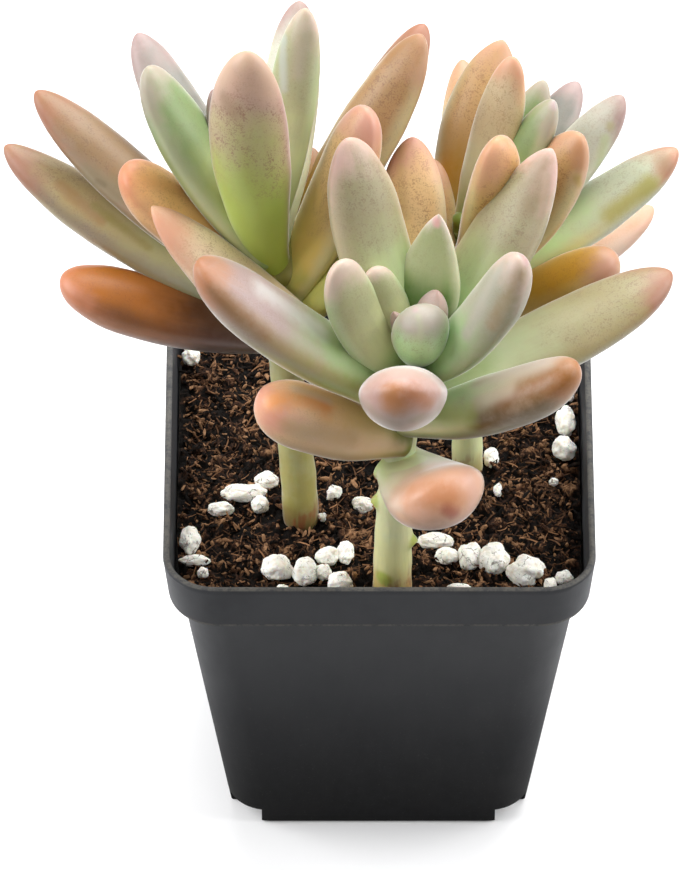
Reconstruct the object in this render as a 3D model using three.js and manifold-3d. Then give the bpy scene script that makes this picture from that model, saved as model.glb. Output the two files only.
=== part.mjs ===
// A graptosedum with three leafy shoots, rooted in peat in a square nursery pot.
// Millimetres, +Z up. Everything is placed from the middle of the pot's underside. At the end the
// whole is moved so that the origin lies under the middle of the plant's overall box.
import * as THREE from "three";
import { mergeVertices } from "three/addons/utils/BufferGeometryUtils.js";
import Module from "manifold-3d";

const wasm = await Module();
wasm.setup();

// ---- driving dimensions -------------------------------------------------

const GAP = 0.3; // clearance kept between pieces that touch

const POT = {
  height: 70,
  rimWidth: 76, // across the outside of the rim
  bandHeight: 10, // straight skirt under the rim
  bandTaper: 0.9, // how much narrower the skirt is at its foot, each side
  ledge: 2.2, // how far the body steps in under the skirt, each side
  baseWidth: 53.4,
  wall: 1.3,
  lip: 0.5, // rounding of the rim's top edge
  cornerRadius: 9.1,
  footHeight: 3.6, // how far the floor is raised
  footSpan: 42, // length of each foot along its side
  footWall: 2.2, // thickness of a foot
  floor: 1.4,
  drainRadius: 3,
  drainRing: 15, // drain holes lie this far from the middle
};

const SOIL = {
  top: 64.5,
  edgeDrop: 1, // the peat sinks this much towards the walls
  clod: 0.7, // how far the clods rise above and sink below the surface
  rings: 9,
  perSide: 6, // points along each straight side of a ring
  perCorner: 2,
};

// Perlite grains that lie in the peat: middle x and y, width and depth.
const GRAINS = [
  [-33.6, 27, 3.2, 3.6],
  [-28, -12, 4.5, 2.6],
  [-24, -8, 7.6, 3.4],
  [-20, -5, 4, 3.4],
  [-21, -11, 3.1, 3.2],
  [-8, -8, 2.7, 3],
  [-3, -11, 3.4, 3.2],
  [-33.4, -20, 3.4, 6],
  [-32.4, -25, 5, 2],
  [-18, -27, 5.2, 4.8],
  [-13, -28, 4.7, 5],
  [-10, -28, 2.9, 3],
  [-9, -24, 4, 3.6],
  [-6, -23, 3.1, 5],
  [-7, -31, 4.5, 4.2],
  [33.4, 10, 3.4, 6.6],
  [33, 3, 4, 4.8],
  [20, 1, 2.5, 4.4],
  [10, -20, 6.3, 2.8],
  [12, -24, 4.1, 3.4],
  [16, -24, 4.1, 5.6],
  [20, -25, 5.2, 6.2],
  [26, -28, 6.5, 5.6],
  [30, -31, 2.2, 3.2],
  [32.4, -29.4, 3.2, 2.8],
];

const STEM = {
  tipShare: 0.62, // radius at the growing tip, as a share of the foot's
  depth: 24, // how far a stem reaches down into the peat
  inward: 0.012, // how fast its buried end slants towards the middle of the pot, per mm
  waver: 0.12,
  sides: 10,
  steps: 12,
};

// Raised scars of fallen leaves: height above the peat, compass direction and width.
const SCAR = { out: 1.5, high: 1.1, sunk: 0.4 };
const SCARS = {
  left: [{ height: 5, turn: 330, width: 4 }],
  front: [
    { height: 3, turn: 235, width: 4.6 },
    { height: 11, turn: 350, width: 4 },
    { height: 21, turn: 190, width: 4 },
  ],
  right: [{ height: 20, turn: 330, width: 3.4 }],
};

const LEAF = {
  sides: 8,
  baseWidth: 0.4, // width of the leaf's root, as a share of its full width
  widest: 0.57, // where along the leaf it is widest
  clasp: 1.6, // distance from the stem's axis at which the leaf's root begins
};

// Each shoot runs from its foot, at the peat, to its growing tip. With lean
// above 1 it leaves the peat upright and bends later.
const SHOOTS = {
  left: { foot: [-13.9, -13.4], tip: [-21, -6, 131], lean: 1.5, radius: 3.2 },
  front: { foot: [2.3, -30.5], tip: [7, -24, 121.5], lean: 2.4, radius: 3.4 },
  right: { foot: [15.7, -1.2], tip: [14.4, 4, 121], lean: 1.5, radius: 2.75 },
};

// Leaves from the lowest up. at: height of the root above the peat; turn: compass direction,
// anticlockwise from +X; rise: slope of the line from root to tip; curl: how much the leaf
// bends upwards along its length; bow: the same sideways; roll: turn about its own length.
const LEAVES = {
  left: [
    { at: 41, turn: 171, rise: 11, length: 39.5, width: 13, thick: 10.5, curl: 18 },
    { at: 43, turn: 10, rise: 50, length: 25, width: 12, thick: 7, curl: 14 },
    { at: 45, turn: 152, rise: 17, length: 56.5, width: 11.5, thick: 8.5, curl: 18 },
    { at: 46, turn: 30, rise: 65, length: 43, width: 12.5, thick: 8.5, curl: 18 },
    { at: 49, turn: 146, rise: 24, length: 55, width: 11.5, thick: 8.5, curl: 14 },
    { at: 50, turn: 58, rise: 26, length: 55.5, width: 11.5, thick: 8.5, curl: 20 },
    { at: 52, turn: 168, rise: 40, length: 34, width: 13, thick: 9, curl: 14 },
    { at: 53, turn: 46, rise: 40, length: 49.5, width: 12.5, thick: 8, curl: 18 },
    { at: 55, turn: 66, rise: 32, length: 22.5, width: 7, thick: 5, curl: 14 },
    { at: 55, turn: 123, rise: 28, length: 48, width: 10.5, thick: 7.5, curl: 14 },
    { at: 56, turn: 81, rise: 40, length: 46, width: 10.5, thick: 7.5, curl: 14 },
    { at: 57, turn: 152, rise: 56, length: 41.5, width: 12, thick: 8.5, curl: 14 },
    { at: 59, turn: 218, rise: 86, length: 47.5, width: 14.2, thick: 9, curl: 14, roll: 40 },
    { at: 60, turn: 66, rise: 66, length: 43.5, width: 9, thick: 7.5, curl: 14 },
    { at: 63, turn: 125, rise: 56, length: 26, width: 7, thick: 5, curl: 12 },
  ],
  front: [
    { at: 28, turn: 293, rise: 33, length: 23.5, width: 17, thick: 11, curl: 66, bow: -30, roll: 6 },
    { at: 34, turn: 191, rise: 29, length: 28.5, width: 13, thick: 11.5, curl: 14 },
    { at: 38, turn: 156, rise: 34, length: 57.5, width: 13, thick: 8.5, curl: 14 },
    { at: 38, turn: 342, rise: 34, length: 37.5, width: 12.5, thick: 9.5, curl: 22 },
    { at: 42, turn: 23, rise: 13, length: 51.5, width: 14.5, thick: 9.5, curl: 20 },
    { at: 42, turn: 84, rise: 20, length: 47, width: 12, thick: 8.5, curl: 16 },
    { at: 45, turn: 266, rise: 41.7, length: 37, width: 15.2, thick: 11.2, curl: 12, roll: 3 },
    { at: 43, turn: 183, rise: 42, length: 48.5, width: 14.5, thick: 9.5, curl: 16 },
    { at: 46, turn: 89, rise: 34, length: 43, width: 12.5, thick: 8.5, curl: 16 },
    { at: 47, turn: 40, rise: 47, length: 46.5, width: 14, thick: 9, curl: 18 },
    { at: 49, turn: 124, rise: 62, length: 42.5, width: 13.5, thick: 9, curl: 18 },
    { at: 46, turn: 345, rise: 60, length: 38.5, width: 10.5, thick: 8.2, curl: 30, roll: 37 },
    { at: 52, turn: 284, rise: 70, length: 14, width: 10.4, thick: 9, curl: 29 },
    { at: 46, turn: 183, rise: 67, length: 30.5, width: 10.2, thick: 6, curl: 36, roll: -50 },
    { at: 53, turn: 67, rise: 66, length: 24, width: 11.8, thick: 6, curl: 18 },
    { at: 53, turn: 160, rise: 62, length: 17, width: 6.6, thick: 4.6, curl: 19, roll: -38 },
    { at: 53, turn: 16, rise: 72, length: 12, width: 7.2, thick: 5.4, curl: 10, roll: 7 },
    { at: 53.5, turn: 205, rise: 62, length: 9.5, width: 4, thick: 3, curl: 16 },
  ],
  right: [
    { at: 34, turn: 356, rise: 32, length: 31, width: 11.5, thick: 10, curl: 12 },
    { at: 36, turn: 35, rise: 4, length: 41, width: 9.5, thick: 8, curl: 18 },
    { at: 41, turn: 25, rise: 22, length: 44.5, width: 11, thick: 8.5, curl: 16 },
    { at: 44, turn: 90, rise: 16, length: 44, width: 8, thick: 6.5, curl: 14 },
    { at: 46, turn: 77, rise: 40, length: 40, width: 14, thick: 9, curl: 16, bow: -26 },
    { at: 42, turn: 8, rise: 58, length: 38, width: 13, thick: 9, curl: 16, roll: 25 },
    { at: 45, turn: 36, rise: 33, length: 41, width: 10, thick: 7.5, curl: 24 },
    { at: 47, turn: 56, rise: 22, length: 39, width: 9.5, thick: 7, curl: 16 },
    { at: 46, turn: 306, rise: 76, length: 37, width: 12, thick: 8, curl: 22, roll: 20 },
    { at: 50, turn: 52, rise: 44, length: 32, width: 8, thick: 6, curl: 14 },
    { at: 51, turn: 56, rise: 64, length: 35, width: 9, thick: 6.5, curl: 14 },
    { at: 53, turn: 25, rise: 54, length: 29.5, width: 8.5, thick: 6, curl: 14 },
  ],
};

const COLOURS = {
  pot: 0x2f3234,
  soil: 0x2e1c13,
  stem: 0xc9cf9f,
  leaf: 0xb9a87c,
};

// ---- small helpers --------------------------------------------------------

const rad = THREE.MathUtils.degToRad;
const clamp = THREE.MathUtils.clamp;
const vec = (x, y, z) => new THREE.Vector3(x, y, z);

// A repeatable random number from 0 to 1 for each whole seed.
function chance(seed) {
  const s = Math.sin(seed * 127.1 + 11.7) * 43758.5453;
  return s - Math.floor(s);
}

// A closed skin over a list of rings that all have the same number of points. Each end is
// closed by a fan to its ring's middle.
function loft(rings) {
  const n = rings[0].length;
  const points = rings.flat();
  const faces = [];
  for (let r = 0; r + 1 < rings.length; r++) {
    for (let i = 0; i < n; i++) {
      const a = r * n + i;
      const b = r * n + ((i + 1) % n);
      faces.push(a, b, b + n, a, b + n, a + n);
    }
  }
  for (const end of [0, rings.length - 1]) {
    const middle = rings[end].reduce((sum, p) => sum.add(p), vec(0, 0, 0)).divideScalar(n);
    points.push(middle);
    for (let i = 0; i < n; i++) {
      const a = end * n + i;
      const b = end * n + ((i + 1) % n);
      faces.push(points.length - 1, end ? a : b, end ? b : a);
    }
  }
  const geometry = new THREE.BufferGeometry().setFromPoints(points);
  geometry.setIndex(faces);
  return geometry;
}

function solid(geometry) {
  const bare = geometry.clone();
  bare.deleteAttribute("normal");
  bare.deleteAttribute("uv");
  const merged = mergeVertices(bare, 1e-4);
  return new wasm.Manifold(
    new wasm.Mesh({
      numProp: 3,
      vertProperties: new Float32Array(merged.attributes.position.array),
      triVerts: new Uint32Array(merged.index.array),
    }),
  );
}

// The largest body of a solid, without any scraps that a cut left loose.
function mainBody(shape) {
  return shape.decompose().reduce((a, b) => (a.volume() > b.volume() ? a : b));
}

const group = new THREE.Group();

function addNode(name, shape, colour, roughness) {
  const mesh = mainBody(shape).getMesh();
  const geometry = new THREE.BufferGeometry();
  geometry.setAttribute("position", new THREE.BufferAttribute(mesh.vertProperties, mesh.numProp));
  geometry.setIndex(new THREE.BufferAttribute(mesh.triVerts, 1));
  geometry.computeVertexNormals();
  const material = new THREE.MeshStandardMaterial({ color: colour, roughness, metalness: 0 });
  const node = new THREE.Mesh(geometry, material);
  node.name = name;
  group.add(node);
}

// ---- pot ------------------------------------------------------------------

const bandFoot = POT.height - POT.bandHeight;
const bandHalf = POT.rimWidth / 2 - POT.bandTaper;
const bodyTop = bandHalf - POT.ledge;
const baseHalf = POT.baseWidth / 2;

// Half the width of the pot's body at a height.
const bodyHalf = (z) => baseHalf + ((bodyTop - baseHalf) * z) / bandFoot;

// A square ring with rounded corners, anticlockwise seen from above.
function squareRing(half, radius, z, perCorner = 6, perSide = 0) {
  const ring = [];
  const reach = half - radius;
  for (let corner = 0; corner < 4; corner++) {
    const turned = (point) => point.applyAxisAngle(vec(0, 0, 1), (corner * Math.PI) / 2);
    for (let i = 0; i <= perCorner; i++) {
      const a = rad((90 * i) / perCorner);
      ring.push(turned(vec(reach + radius * Math.cos(a), reach + radius * Math.sin(a), z)));
    }
    for (let i = 1; i <= perSide; i++) {
      const x = reach * (1 - (2 * i) / (perSide + 1));
      ring.push(turned(vec(x, half, z)));
    }
  }
  return ring;
}

function pot() {
  const r = POT.cornerRadius;
  const half = POT.rimWidth / 2;
  const outside = loft([
    squareRing(baseHalf, r - 1.8, 0),
    squareRing(bodyTop, r - 0.6, bandFoot),
    squareRing(bandHalf, r, bandFoot + 0.4),
    squareRing(half, r, POT.height - POT.lip),
    squareRing(half - POT.lip, r - POT.lip, POT.height),
  ]);
  const w = POT.wall;
  const floorTop = POT.footHeight + POT.floor;
  const inside = loft([
    squareRing(bodyHalf(floorTop) - w - 1, r - 3.5, floorTop),
    squareRing(bodyHalf(floorTop + 1) - w, r - 3, floorTop + 1),
    squareRing(bodyTop - w, r - 1.6, bandFoot - 0.6),
    squareRing(bandHalf - w, r - w, bandFoot + 0.8),
    squareRing(half - w, r - w, POT.height + 0.01),
  ]);
  let shape = solid(outside).subtract(solid(inside));
  const recess = new THREE.BoxGeometry(1, 1, 1);
  const recessHalf = baseHalf - POT.footWall;
  recess.scale(2 * recessHalf, 2 * recessHalf, 2 * POT.footHeight);
  shape = shape.subtract(solid(recess));
  const inner = baseHalf - POT.footWall - 1;
  for (let side = 0; side < 4; side++) {
    const turned = (side * Math.PI) / 2;
    for (const end of [-1, 1]) {
      const notch = new THREE.Shape();
      notch.moveTo(end * (POT.footSpan / 2 + 1.2), POT.footHeight);
      notch.lineTo((end * POT.footSpan) / 2, -1);
      notch.lineTo(end * POT.baseWidth, -1);
      notch.lineTo(end * POT.baseWidth, POT.footHeight);
      const cut = new THREE.ExtrudeGeometry(notch, { depth: baseHalf, bevelEnabled: false });
      cut.rotateX(Math.PI / 2);
      cut.translate(0, -inner, 0);
      cut.rotateZ(turned);
      shape = shape.subtract(solid(cut));
    }
    const hole = new THREE.CylinderGeometry(POT.drainRadius, POT.drainRadius, 12, 16);
    hole.rotateX(Math.PI / 2);
    hole.translate(POT.drainRing, 0, POT.footHeight);
    hole.rotateZ(turned);
    shape = shape.subtract(solid(hole));
  }
  return shape;
}

// ---- peat -----------------------------------------------------------------

// An angular grain of perlite, sunk into the peat by a third.
function grain([x, y, width, depth], seed) {
  const shape = new THREE.IcosahedronGeometry(1, 0);
  shape.rotateZ(6 * chance(seed));
  const at = shape.attributes.position;
  for (let i = 0; i < at.count; i++) {
    const corner = vec(at.getX(i), at.getY(i), at.getZ(i));
    corner.multiplyScalar(1 + 0.14 * Math.sin(7 * corner.x + 5 * corner.y + 3 * corner.z + seed));
    at.setXYZ(i, corner.x, corner.y, corner.z);
  }
  const height = 0.8 * Math.min(width, depth) + 0.3;
  shape.scale(width / 2, depth / 2, height / 2);
  shape.translate(x, y, SOIL.top - SOIL.edgeDrop / 2 + height / 6);
  return solid(shape);
}

// The peat fills the pot. Its top is made of rings that shrink to the middle, with clods on it.
function peat() {
  const r = POT.cornerRadius;
  const w = POT.wall + GAP;
  const floorTop = POT.footHeight + POT.floor + GAP;
  const ring = (half, radius, z) => squareRing(half, radius, z, SOIL.perCorner, SOIL.perSide);
  const edge = bandHalf - w;
  const rings = [
    ring(bodyHalf(floorTop) - w - 1.2, r - 3.7, floorTop),
    ring(bodyHalf(floorTop + 1.2) - w - 0.1, r - 3.4, floorTop + 1.2),
    ring(bodyTop - w, r - 1.9, bandFoot - 0.2),
    ring(edge, r - w, bandFoot + 1.2),
    ring(edge + 0.1, r - w, SOIL.top - SOIL.edgeDrop),
  ];
  for (let k = 1; k < SOIL.rings; k++) {
    const share = 1 - k / SOIL.rings;
    const top = ring(edge * share, (r - w) * share, SOIL.top - SOIL.edgeDrop * share ** 4);
    top.forEach((point, i) => {
      const seed = 100 * k + i;
      point.x += (chance(seed) - 0.5) * share;
      point.y += (chance(seed + 0.3) - 0.5) * share;
      point.z += (chance(seed + 0.6) - 0.5) * 2 * SOIL.clod;
    });
    rings.push(top);
  }
  let shape = solid(loft(rings));
  GRAINS.forEach((place, i) => {
    shape = shape.add(grain(place, i));
  });
  for (const shoot of Object.keys(SHOOTS)) {
    shape = shape.subtract(stem(shoot, GAP, SOIL.clod * 8));
  }
  return shape;
}

// ---- shoots ---------------------------------------------------------------

// The axis of a shoot at a height above the peat, or below it where that is negative.
function axisPoint(shoot, height) {
  const { foot, tip, lean } = SHOOTS[shoot];
  const along = Math.max(height / (tip[2] - SOIL.top), 0) ** lean;
  const inward = 1 + STEM.inward * Math.min(height, 0);
  return vec(
    foot[0] * inward + (tip[0] - foot[0]) * along,
    foot[1] * inward + (tip[1] - foot[1]) * along,
    SOIL.top + height,
  );
}

// A round stem, which reaches down into the peat. grow adds to its radius.
function stem(shoot, grow = 0, top = SHOOTS[shoot].tip[2] - SOIL.top) {
  const rings = [];
  const bottom = -STEM.depth - grow;
  for (let s = 0; s <= STEM.steps; s++) {
    const height = bottom + ((top - bottom) * s) / STEM.steps;
    const share = clamp(height / (SHOOTS[shoot].tip[2] - SOIL.top), 0, 1);
    const wave = STEM.waver * Math.sin(height * 0.9 + SHOOTS[shoot].foot[0]);
    const taper = 1 + (STEM.tipShare - 1) * share ** 1.5;
    const radius = SHOOTS[shoot].radius * taper + wave + grow;
    const middle = axisPoint(shoot, height);
    const ring = [];
    for (let i = 0; i < STEM.sides; i++) {
      const a = (2 * Math.PI * i) / STEM.sides;
      ring.push(vec(middle.x + radius * Math.cos(a), middle.y + radius * Math.sin(a), middle.z));
    }
    rings.push(ring);
  }
  return solid(loft(rings));
}

// The raised scar that a fallen leaf left on a stem.
function scar(shoot, { height, turn, width }) {
  const bump = new THREE.SphereGeometry(1, 8, 6);
  bump.scale(SCAR.out, width / 2, SCAR.high);
  bump.translate(SHOOTS[shoot].radius - SCAR.sunk, 0, 0);
  bump.rotateZ(rad(turn));
  const { x, y, z } = axisPoint(shoot, height);
  bump.translate(x, y, z);
  return solid(bump);
}

// ---- leaves ---------------------------------------------------------------

// Breadth of a leaf along its length, from 0 at the root to 1 at the tip.
function breadth(t, root, widest) {
  if (t < widest) return root + (1 - root) * Math.sin((Math.PI / 2) * (t / widest));
  const u = (t - widest) / (1 - widest);
  return Math.max(1 - u ** 2.4, 0) ** 0.6;
}

const LEAF_STATIONS = [0, 0.15, 0.33, 0.51, 0.68, 0.83, 0.94, 1];

// The line along the middle of a leaf: points and directions at even steps from root to tip.
function midrib(shoot, leaf, steps = 40) {
  const curl = leaf.curl ?? 0;
  const bow = leaf.bow ?? 0;
  const heading = (t) => {
    const rise = rad(leaf.rise + curl * (t - 0.5));
    const turn = rad(leaf.turn + bow * (t - 0.5));
    return vec(Math.cos(rise) * Math.cos(turn), Math.cos(rise) * Math.sin(turn), Math.sin(rise));
  };
  const path = [vec(0, 0, 0)];
  for (let i = 0; i < steps; i++) {
    path.push(path[i].clone().add(heading((i + 0.5) / steps)));
  }
  const raw = path[steps].clone();
  const scale = leaf.length / raw.length();
  const fit = new THREE.Quaternion().setFromUnitVectors(raw.normalize(), heading(0.5));
  const root = axisPoint(shoot, leaf.at);
  return path.map((p, i) => ({
    point: p.clone().multiplyScalar(scale).applyQuaternion(fit).add(root),
    heading: heading(i / steps).applyQuaternion(fit),
  }));
}

// A plump leaf, flatter above than below. grow thickens it all round.
function leafSolid(shoot, leaf, grow = 0) {
  const steps = 40;
  const rib = midrib(shoot, leaf, steps);
  const first = LEAF.clasp / leaf.length;
  const rings = LEAF_STATIONS.map((station) => {
    const t = first + (1 - first) * Math.min(station, 0.996);
    const at = t * steps;
    const i = Math.min(Math.floor(at), steps - 1);
    const centre = rib[i].point.clone().lerp(rib[i + 1].point, at - i);
    const along = rib[i].heading.clone().lerp(rib[i + 1].heading, at - i).normalize();
    const level = vec(-Math.sin(rad(leaf.turn)), Math.cos(rad(leaf.turn)), 0);
    const up = along.clone().cross(level).normalize();
    const side = up.clone().cross(along).normalize();
    const roll = new THREE.Quaternion().setFromAxisAngle(along, rad(leaf.roll ?? 0));
    up.applyQuaternion(roll);
    side.applyQuaternion(roll);
    if (station === 1) centre.addScaledVector(along, grow);
    const half = (leaf.width / 2) * breadth(t, LEAF.baseWidth, LEAF.widest) + grow;
    const depth = leaf.thick * breadth(t, LEAF.baseWidth + 0.05, LEAF.widest - 0.06) + 2 * grow;
    const ring = [];
    for (let k = 0; k < LEAF.sides; k++) {
      const a = (2 * Math.PI * k) / LEAF.sides;
      const high = Math.sin(a) * depth * (Math.sin(a) > 0 ? 0.42 : 0.58);
      ring.push(
        centre
          .clone()
          .addScaledVector(side, half * Math.cos(a))
          .addScaledVector(up, high),
      );
    }
    return ring;
  });
  return solid(loft(rings));
}

// ---- the whole plant ------------------------------------------------------

addNode("pot", pot(), COLOURS.pot, 0.6);
addNode("soil", peat(), COLOURS.soil, 0.95);

const shoots = Object.keys(SHOOTS);
for (const shoot of shoots) {
  const bumps = SCARS[shoot].map((place) => scar(shoot, place));
  const shape = bumps.reduce((whole, bump) => whole.add(bump), stem(shoot));
  addNode(`stem_${shoot}`, shape, COLOURS.stem, 0.55);
}

// The leaves nearest a growing tip keep their whole form. Those below are cut back around them,
// and around the stems, where they crowd together at the root.
const taken = shoots.map((shoot) => stem(shoot, GAP));
const leaves = shoots.flatMap((shoot) =>
  LEAVES[shoot].map((leaf, i) => {
    const name = `leaf_${shoot}_${String(i + 1).padStart(2, "0")}`;
    return { shoot, leaf, name, depth: SHOOTS[shoot].tip[2] - SOIL.top - leaf.at };
  }),
);
leaves.sort((a, b) => a.depth - b.depth);
for (const { shoot, leaf, name } of leaves) {
  let shape = leafSolid(shoot, leaf);
  for (const other of taken) {
    if (shape.intersect(other).volume() > 0) shape = shape.subtract(other);
  }
  taken.push(leafSolid(shoot, leaf, GAP));
  addNode(name, shape, COLOURS.leaf, 0.5);
}

const middle = new THREE.Box3().setFromObject(group).getCenter(vec(0, 0, 0));
group.position.set(-middle.x, -middle.y, 0);

export default group;
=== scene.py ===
import math
import random

import bpy
import bmesh
import numpy as np
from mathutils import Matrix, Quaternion, Vector, noise


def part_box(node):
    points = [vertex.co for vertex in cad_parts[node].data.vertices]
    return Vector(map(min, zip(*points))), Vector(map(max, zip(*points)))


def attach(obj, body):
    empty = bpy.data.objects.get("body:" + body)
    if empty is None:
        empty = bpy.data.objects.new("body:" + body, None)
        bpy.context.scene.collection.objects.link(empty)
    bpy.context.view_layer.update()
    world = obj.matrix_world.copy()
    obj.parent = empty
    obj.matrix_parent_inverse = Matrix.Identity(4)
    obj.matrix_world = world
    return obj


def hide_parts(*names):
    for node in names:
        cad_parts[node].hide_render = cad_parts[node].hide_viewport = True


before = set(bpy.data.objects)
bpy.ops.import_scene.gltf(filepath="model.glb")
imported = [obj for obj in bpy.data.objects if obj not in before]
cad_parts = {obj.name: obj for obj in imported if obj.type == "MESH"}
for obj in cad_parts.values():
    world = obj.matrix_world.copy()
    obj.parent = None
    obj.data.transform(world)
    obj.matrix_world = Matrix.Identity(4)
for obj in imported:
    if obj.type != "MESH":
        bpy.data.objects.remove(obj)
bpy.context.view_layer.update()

# ---- where things are --------------------------------------------------------

MM = 0.001
pot_low, pot_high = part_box("pot")
MIDDLE = Vector(((pot_low.x + pot_high.x) / 2, (pot_low.y + pot_high.y) / 2, pot_low.z))


def place(x, y, z):
    """The point x, y, z mm from the middle of the pot's underside."""
    return MIDDLE + Vector((x, y, z)) * MM


# The pot.
POT_HEIGHT = (pot_high.z - pot_low.z) / MM
POT_HALF = (pot_high.x - pot_low.x) / MM / 2
WALL = 1.3
RIM_CORNER = 9.1
BAND = 10  # height of the skirt under the rim
BAND_HALF = POT_HALF - 0.9
BODY_HALF = BAND_HALF - 2.2  # where the body meets the skirt
BASE_HALF = 26.7
FOOT_HEIGHT = 3.6
FOOT_WALL = 2.2
FOOT_SPAN = 42  # each foot's length along its side
FLOOR = 1.4
DRAIN_RADIUS = 3
DRAIN_RING = 15  # drain holes lie this far from the middle
CUTTER = 12  # size of what cuts the gaps between the feet and the drain holes

# The peat and the stems.
PEAT_TOP = 64.5
PEAT_EDGE_DROP = 1.0
PEAT_HALF = BAND_HALF - WALL - 0.15
SCATTER_CORNER = 7.6  # corner radius of the square in which crumbs and fibres lie
STEM_TIP_SHARE = 0.62  # thickness at the growing tip, as a share of that at the foot
STEM_WAVER = 0.05
STEM_DEPTH = 24  # how far a stem reaches below the peat
STEM_INWARD = 0.012  # how much nearer the middle it is for each mm below

# Each shoot runs from its foot, at the peat, to its growing tip.
SHOOTS = {
    "left": {"foot": (-13.9, -13.4), "tip": (-21, -6, 131), "lean": 1.5, "radius": 3.2},
    "front": {"foot": (2.3, -30.5), "tip": (7, -24, 121.5), "lean": 2.4, "radius": 3.4},
    "right": {"foot": (15.7, -1.2), "tip": (14.4, 4, 121), "lean": 1.5, "radius": 2.75},
}

# How blunt a leaf's outline is towards its tip, and at the tip itself.
FAIR, BLUNT, SHARP = (2.4, 0.56), (3, 0.5), (2, 0.66)

# Leaves from the lowest up: height of the root above the peat, compass direction, rise, length,
# width, thickness, curl, tip and skin. Some are also bowed sideways, rolled, or widest low down,
# or have a broad root or one that runs down the stem. Most directions and lengths, and all the
# values of some leaves, were worked out by a separate program and then rounded.
LEAVES = {
    "left": [
        (41, 171, 11, 39.5, 13, 10.5, 18, BLUNT, "burnt"),
        (43, 10, 50, 25, 12, 7, 14, FAIR, "olive"),
        (45, 152, 17, 56.5, 11.5, 8.5, 18, FAIR, "banded"),
        (46, 30, 65, 43, 12.5, 8.5, 18, BLUNT, "tawny"),
        (49, 146, 24, 55, 11.5, 8.5, 14, FAIR, "tan"),
        (50, 58, 26, 55.5, 11.5, 8.5, 20, FAIR, "tan"),
        (52, 168, 40, 34, 13, 9, 14, BLUNT, "amber", {"base": 0.7}),
        (53, 46, 40, 49.5, 12.5, 8, 18, FAIR, "cork"),
        (55, 66, 32, 22.5, 7, 5, 14, FAIR, "brown"),
        (55, 123, 28, 48, 10.5, 7.5, 14, FAIR, "pale"),
        (56, 81, 40, 46, 10.5, 7.5, 14, FAIR, "frost"),
        (57, 152, 56, 41.5, 12, 8.5, 14, FAIR, "green"),
        (59, 218, 86, 47.5, 14.2, 9, 14, FAIR, "blush", {"roll": 40, "clasp": -7}),
        (60, 66, 66, 43.5, 9, 7.5, 14, FAIR, "sage"),
        (63, 125, 56, 26, 7, 5, 12, FAIR, "pale"),
    ],
    "front": [
        (28, 293, 33, 23.5, 17, 11, 66, BLUNT, "peach", {"bow": -30, "roll": 6}),
        (34, 191, 29, 28.5, 13, 11.5, 14, BLUNT, "rosy"),
        (38, 156, 34, 57.5, 13, 8.5, 14, SHARP, "flushed"),
        (38, 342, 34, 37.5, 12.5, 9.5, 22, BLUNT, "russet"),
        (42, 23, 13, 51.5, 14.5, 9.5, 20, FAIR, "willow"),
        (42, 84, 20, 47, 12, 8.5, 16, FAIR, "brown"),
        (45, 266, 41.7, 37, 15.2, 11.2, 12, BLUNT, "lilac", {"roll": 3}),
        (43, 183, 42, 48.5, 15, 9.5, 16, BLUNT, "mauve", {"base": 0.7}),
        (46, 89, 34, 43, 12.5, 8.5, 16, FAIR, "tawny"),
        (47, 40, 47, 46.5, 14, 9, 18, SHARP, "dusky"),
        (49, 124, 62, 42.5, 13.5, 9, 18, FAIR, "dusky"),
        (46, 345, 60, 38.5, 10.5, 8.2, 30, BLUNT, "silver", {"roll": 37}),
        (52, 284, 70, 14, 10.4, 9, 29, BLUNT, "mint"),
        (46, 183, 67, 30.5, 10.2, 6, 36, BLUNT, "sage", {"roll": -50}),
        (53, 67, 66, 24, 11.8, 6, 18, (1.7, 0.8), "fern", {"widest": 0.38}),
        (53, 160, 62, 17, 6.6, 4.6, 19, BLUNT, "sage", {"roll": -38}),
        (53, 16, 72, 12, 7.2, 5.4, 10, (1.8, 0.8), "bud", {"roll": 7}),
        (53.5, 205, 62, 9.5, 4, 3, 16, (1.8, 0.8), "bud"),
    ],
    "right": [
        (34, 356, 32, 31, 11.5, 10, 12, BLUNT, "honey"),
        (36, 35, 4, 41, 9.5, 8, 18, FAIR, "peach"),
        (41, 25, 22, 44.5, 11, 8.5, 16, FAIR, "lime"),
        (44, 90, 16, 44, 8, 6.5, 14, FAIR, "brown"),
        (46, 77, 40, 40, 14, 9, 16, SHARP, "brown", {"bow": -26}),
        (42, 8, 58, 38, 13, 9, 16, FAIR, "brown", {"roll": 25}),
        (45, 36, 33, 41, 10, 7.5, 24, FAIR, "frost"),
        (47, 56, 22, 39, 9.5, 7, 16, FAIR, "pale"),
        (46, 306, 76, 37, 12, 8, 22, BLUNT, "toast", {"roll": 20}),
        (50, 52, 44, 32, 8, 6, 14, FAIR, "green"),
        (51, 56, 64, 35, 9, 6.5, 14, FAIR, "reed"),
        (53, 25, 54, 29.5, 8.5, 6, 14, FAIR, "green"),
    ],
}
LEAF_BASE = 0.56  # width of a leaf's root, as a share of its full width
LEAF_WIDEST = 0.55  # how far along a leaf is widest
LEAF_CLASP = -1.5  # distance from the stem's axis at which a root begins
LEAF_ABOVE, LEAF_BELOW = 0.42, 0.58  # shares of the thickness over and under the middle line
LEAF_SECTION = 1.12  # 1 makes the section an ellipse, and more makes its margins keener
LEAF_CLOSING = 0.22  # the part of the sphere's radius over which a root closes
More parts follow.
